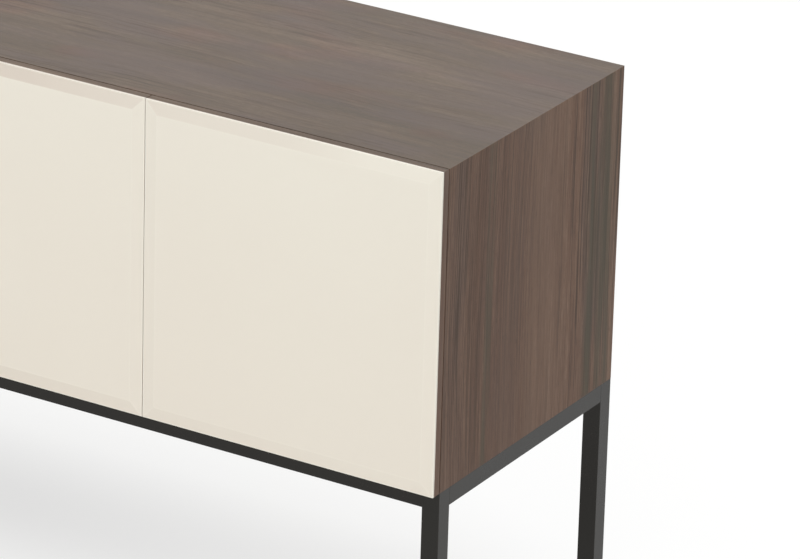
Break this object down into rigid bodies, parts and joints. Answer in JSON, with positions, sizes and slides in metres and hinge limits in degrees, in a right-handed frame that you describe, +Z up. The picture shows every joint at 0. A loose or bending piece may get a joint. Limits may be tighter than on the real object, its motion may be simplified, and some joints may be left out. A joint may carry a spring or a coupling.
{
  "type": "sideboard",
  "caption": "Long low sideboard with bevelled cream overlay doors on a veneered carcass, standing on a slim square-tube metal frame with straight legs.",
  "frame": {"origin": "on the floor, under the middle of the piece's box", "axes": "+X along the front from left to right, +Y from the doors to the back, +Z up"},
  "size_m": [1.73, 0.45, 0.74],
  "materials": {
    "wood_veneer": "matt grey-brown veneer",
    "cream_lacquer": "satin cream lacquer on board",
    "black_metal": "fine matt powder coat",
    "back_board": "matt veneered board",
    "zinc_steel": "nickel plated",
    "grey_plastic": "moulded",
    "black_plastic": "moulded",
    "soft_bumper": "clear soft disc"
  },
  "bodies": {
    "cabinet": {"top_panel": "wood_veneer", "bottom_panel": "wood_veneer", "left_side_panel": "wood_veneer", "right_side_panel": "wood_veneer", "centre_divider": "wood_veneer", "back_panel_left": "back_board", "back_panel_right": "back_board", "shelf_left": "wood_veneer", "shelf_right": "wood_veneer", "shelf_pins_left": "zinc_steel", "shelf_pins_right": "zinc_steel", "frame_front_rail": "black_metal", "frame_rear_rail": "black_metal", "frame_left_rail": "black_metal", "frame_cross_rail": "black_metal", "frame_right_rail": "black_metal", "front_left_leg": "black_metal", "front_right_leg": "black_metal", "rear_left_leg": "black_metal", "rear_right_leg": "black_metal", "leg_end_plugs": "black_plastic", "frame_tabs": "black_metal", "frame_bolts": "zinc_steel", "hinge_screws": "zinc_steel", "door_bumpers": "soft_bumper", "door_1_hinge_arms": "zinc_steel", "door_1_hinge_plates": "zinc_steel", "push_latch_1_casing": "grey_plastic", "door_2_hinge_arms": "zinc_steel", "door_2_hinge_plates": "zinc_steel", "push_latch_2_casing": "grey_plastic", "door_3_hinge_arms": "zinc_steel", "door_3_hinge_plates": "zinc_steel", "push_latch_3_casing": "grey_plastic", "door_4_hinge_arms": "zinc_steel", "door_4_hinge_plates": "zinc_steel", "push_latch_4_casing": "grey_plastic"},
    "door_1": {"door_1_core": "wood_veneer", "door_1_facing": "cream_lacquer", "door_1_hinge_cups": "zinc_steel"},
    "latch_plunger_1": {"push_latch_1_plunger": "grey_plastic"},
    "door_2": {"door_2_core": "wood_veneer", "door_2_facing": "cream_lacquer", "door_2_hinge_cups": "zinc_steel"},
    "latch_plunger_2": {"push_latch_2_plunger": "grey_plastic"},
    "door_3": {"door_3_core": "wood_veneer", "door_3_facing": "cream_lacquer", "door_3_hinge_cups": "zinc_steel"},
    "latch_plunger_3": {"push_latch_3_plunger": "grey_plastic"},
    "door_4": {"door_4_core": "wood_veneer", "door_4_facing": "cream_lacquer", "door_4_hinge_cups": "zinc_steel"},
    "latch_plunger_4": {"push_latch_4_plunger": "grey_plastic"}
  },
  "joints": [
    {"name": "door_1_hinge", "type": "hinge", "parent": "cabinet", "child": "door_1", "pos_m": [-0.859, -0.2228, 0.523], "axis": [0, 0, -1], "range_deg": [0, 105]},
    {"name": "latch_1_travel", "type": "slide", "parent": "cabinet", "child": "latch_plunger_1", "axis": [0, -1, 0], "range_m": [0, 0.014]},
    {"name": "door_2_hinge", "type": "hinge", "parent": "cabinet", "child": "door_2", "pos_m": [-0.0065, -0.2228, 0.523], "axis": [0, 0, 1], "range_deg": [0, 90]},
    {"name": "latch_2_travel", "type": "slide", "parent": "cabinet", "child": "latch_plunger_2", "axis": [0, -1, 0], "range_m": [0, 0.014]},
    {"name": "door_3_hinge", "type": "hinge", "parent": "cabinet", "child": "door_3", "pos_m": [0.0065, -0.2228, 0.523], "axis": [0, 0, -1], "range_deg": [0, 90]},
    {"name": "latch_3_travel", "type": "slide", "parent": "cabinet", "child": "latch_plunger_3", "axis": [0, -1, 0], "range_m": [0, 0.014]},
    {"name": "door_4_hinge", "type": "hinge", "parent": "cabinet", "child": "door_4", "pos_m": [0.859, -0.2228, 0.523], "axis": [0, 0, 1], "range_deg": [0, 105]},
    {"name": "latch_4_travel", "type": "slide", "parent": "cabinet", "child": "latch_plunger_4", "axis": [0, -1, 0], "range_m": [0, 0.014]}
  ],
  "couplings": [
    {"joint": "latch_1_travel", "follows": "door_1_hinge", "m_per_rad": 0.0076},
    {"joint": "latch_2_travel", "follows": "door_2_hinge", "m_per_rad": 0.0089},
    {"joint": "latch_3_travel", "follows": "door_3_hinge", "m_per_rad": 0.0089},
    {"joint": "latch_4_travel", "follows": "door_4_hinge", "m_per_rad": 0.0076}
  ]
}
